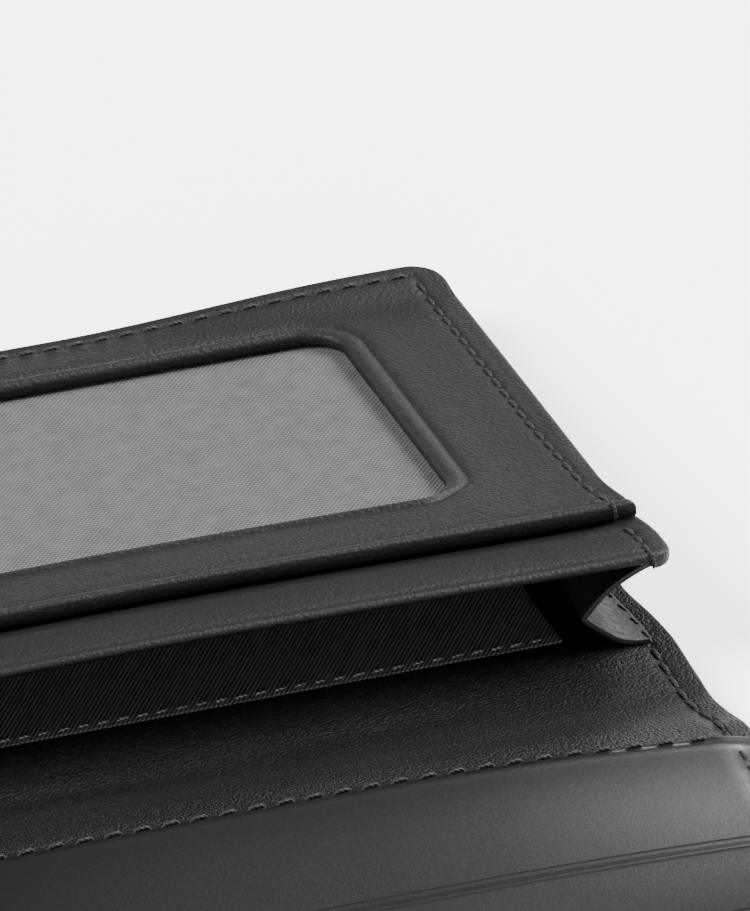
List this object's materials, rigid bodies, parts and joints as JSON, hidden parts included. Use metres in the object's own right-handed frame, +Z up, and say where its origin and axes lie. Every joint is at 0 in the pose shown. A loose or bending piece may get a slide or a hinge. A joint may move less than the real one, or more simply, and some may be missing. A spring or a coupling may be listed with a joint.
{
  "type": "trifold wallet",
  "caption": "Leather trifold wallet lying open: centre panel and flap with stepped card slots, second flap with an ID window over a gusseted pocket.",
  "frame": {"origin": "centre of the open wallet's bounding box, on the surface it lies on", "axes": "+X along the fold lines, towards the sewn side; +Y across the folds, towards the free edge of the flap with the pocket; +Z up"},
  "size_m": [0.102, 0.232, 0.0139],
  "materials": {
    "shell_leather": "black full grain leather, fine pebble, satin",
    "liner_leather": "black pebble grained lining leather, satin",
    "slot_leather": "black smooth leather, semi gloss",
    "pocket_leather": "charcoal leather with a fine grain, satin",
    "gusset_leather": "thin black split leather, matt",
    "stiffening_board": "bonded leather board, matt",
    "sewing_thread": "twisted black polyester thread",
    "twill_lining": "black twill",
    "window_backing_cloth": "fine light grey woven cloth, matt",
    "window_film": "clear soft film, glossy"
  },
  "bodies": {
    "centre": {"outer_shell_b": "shell_leather", "shell_lining_b": "twill_lining", "liner_lining_b": "twill_lining", "board_b": "stiffening_board", "hem_b": "shell_leather", "inner_liner_b": "liner_leather", "card_slot_b1": "slot_leather", "card_slot_b2": "slot_leather", "card_slot_b3": "slot_leather", "slot_edge_seam": "sewing_thread", "seam_b": "sewing_thread"},
    "spine_ab": {"outer_spine_ab": "shell_leather", "shell_lining_ab": "twill_lining", "liner_lining_ab": "twill_lining", "hem_ab": "shell_leather", "inner_spine_ab": "liner_leather", "seam_ab": "sewing_thread"},
    "panel_a": {"outer_shell_a": "shell_leather", "shell_lining_a": "twill_lining", "liner_lining_a": "twill_lining", "board_a": "stiffening_board", "hem_a": "shell_leather", "inner_liner_a": "liner_leather", "pocket_floor_lining": "twill_lining", "pocket_root_strip": "gusset_leather", "gusset_right": "gusset_leather", "gusset_left": "gusset_leather", "seam_a": "sewing_thread", "floor_seam": "sewing_thread"},
    "pocket": {"pocket_roof_lining": "twill_lining", "card_pocket_layer": "pocket_leather", "id_backing": "window_backing_cloth", "id_window_film": "window_film", "id_pocket_face": "pocket_leather", "seam_pocket": "sewing_thread"},
    "spine_bc": {"outer_spine_bc": "shell_leather", "shell_lining_bc": "twill_lining", "liner_lining_bc": "twill_lining", "hem_bc": "shell_leather", "inner_spine_bc": "liner_leather", "seam_bc": "sewing_thread"},
    "panel_c": {"outer_shell_c": "shell_leather", "shell_lining_c": "twill_lining", "liner_lining_c": "twill_lining", "board_c": "stiffening_board", "hem_c": "shell_leather", "inner_liner_c": "liner_leather", "card_slot_c1": "slot_leather", "card_slot_c2": "slot_leather", "card_slot_c3": "slot_leather", "seam_c": "sewing_thread"}
  },
  "joints": [
    {"name": "fold_ab_centre", "type": "hinge", "parent": "centre", "child": "spine_ab", "pos_m": [0, 0.028, 0.0024], "axis": [1, 0, 0], "range_deg": [0, 90]},
    {"name": "fold_ab_flap", "type": "hinge", "parent": "spine_ab", "child": "panel_a", "pos_m": [0, 0.045, 0.0024], "axis": [1, 0, 0], "range_deg": [0, 90]},
    {"name": "pocket_mouth", "type": "hinge", "parent": "panel_a", "child": "pocket", "pos_m": [0, 0.1152, 0.0037], "axis": [1, 0, 0], "range_deg": [-2.5, 7], "deforming": ["gusset_right", "gusset_left"]},
    {"name": "fold_bc_centre", "type": "hinge", "parent": "centre", "child": "spine_bc", "pos_m": [0, -0.044, 0.0024], "axis": [-1, 0, 0], "range_deg": [0, 90]},
    {"name": "fold_bc_flap", "type": "hinge", "parent": "spine_bc", "child": "panel_c", "pos_m": [0, -0.052, 0.0024], "axis": [-1, 0, 0], "range_deg": [0, 90]}
  ]
}
